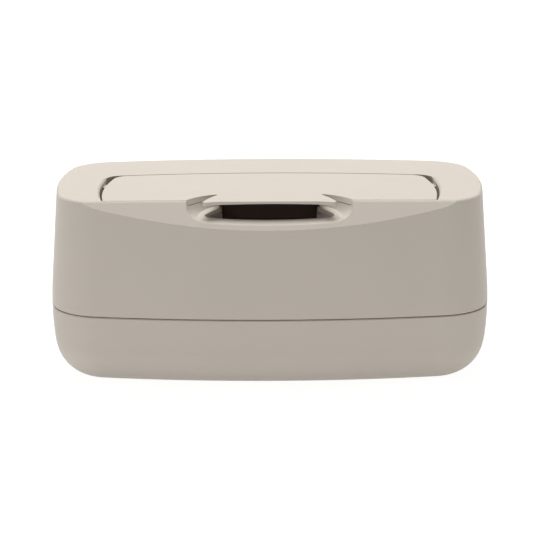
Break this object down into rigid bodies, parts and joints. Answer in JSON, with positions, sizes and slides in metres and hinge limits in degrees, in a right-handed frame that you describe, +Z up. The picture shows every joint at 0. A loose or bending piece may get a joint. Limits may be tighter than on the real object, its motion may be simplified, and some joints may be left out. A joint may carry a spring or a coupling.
{
  "type": "countertop wipes dispenser",
  "caption": "Rounded free-standing wipes box with a lift-off hood, a flush hinged flap pulled by a tongue over a finger scoop, a sealed dispensing slot and a weighted plate.",
  "frame": {"origin": "centre of the footprint, on the table under the feet", "axes": "+X to the right seen from the front, +Y to the rear, +Z up"},
  "size_m": [0.226, 0.126, 0.0953],
  "materials": {
    "taupe_shell": "fine satin moulded plastic, warm grey",
    "inner_plastic": "matte moulded plastic, darker warm grey",
    "plate_plastic": "matte moulded plastic",
    "seal_rubber": "soft matte elastomer",
    "foot_rubber": "soft matte elastomer",
    "bright_steel": "fine turned steel",
    "weight_steel": "zinc plated bar"
  },
  "bodies": {
    "base": {"base_tray": "taupe_shell", "base_gasket": "seal_rubber", "foot_front_left": "foot_rubber", "foot_front_right": "foot_rubber", "foot_rear_left": "foot_rubber", "foot_rear_right": "foot_rubber"},
    "hood": {"hood_shell": "taupe_shell", "dispensing_deck": "inner_plastic", "deck_screws": "bright_steel", "dispensing_membrane": "seal_rubber", "membrane_ring": "inner_plastic", "ring_screws": "bright_steel"},
    "lid": {"lid_panel": "taupe_shell", "lid_liner": "inner_plastic", "lid_seal": "seal_rubber", "liner_screws": "bright_steel", "hinge_pin_left": "bright_steel", "hinge_pin_right": "bright_steel"},
    "press_plate": {"plate_frame": "plate_plastic", "plate_cover": "plate_plastic", "plate_weight_left": "weight_steel", "plate_weight_right": "weight_steel"}
  },
  "joints": [
    {"name": "hood_lift", "type": "slide", "parent": "base", "child": "hood", "axis": [0, 0, 1], "range_m": [0, 0.07]},
    {"name": "lid_hinge", "type": "hinge", "parent": "hood", "child": "lid", "pos_m": [0, 0.0035, 0.0901], "axis": [-1, 0, 0], "range_deg": [0, 95]},
    {"name": "plate_drop", "type": "slide", "parent": "base", "child": "press_plate", "axis": [0, 0, 1], "range_m": [0, 0.045]}
  ]
}
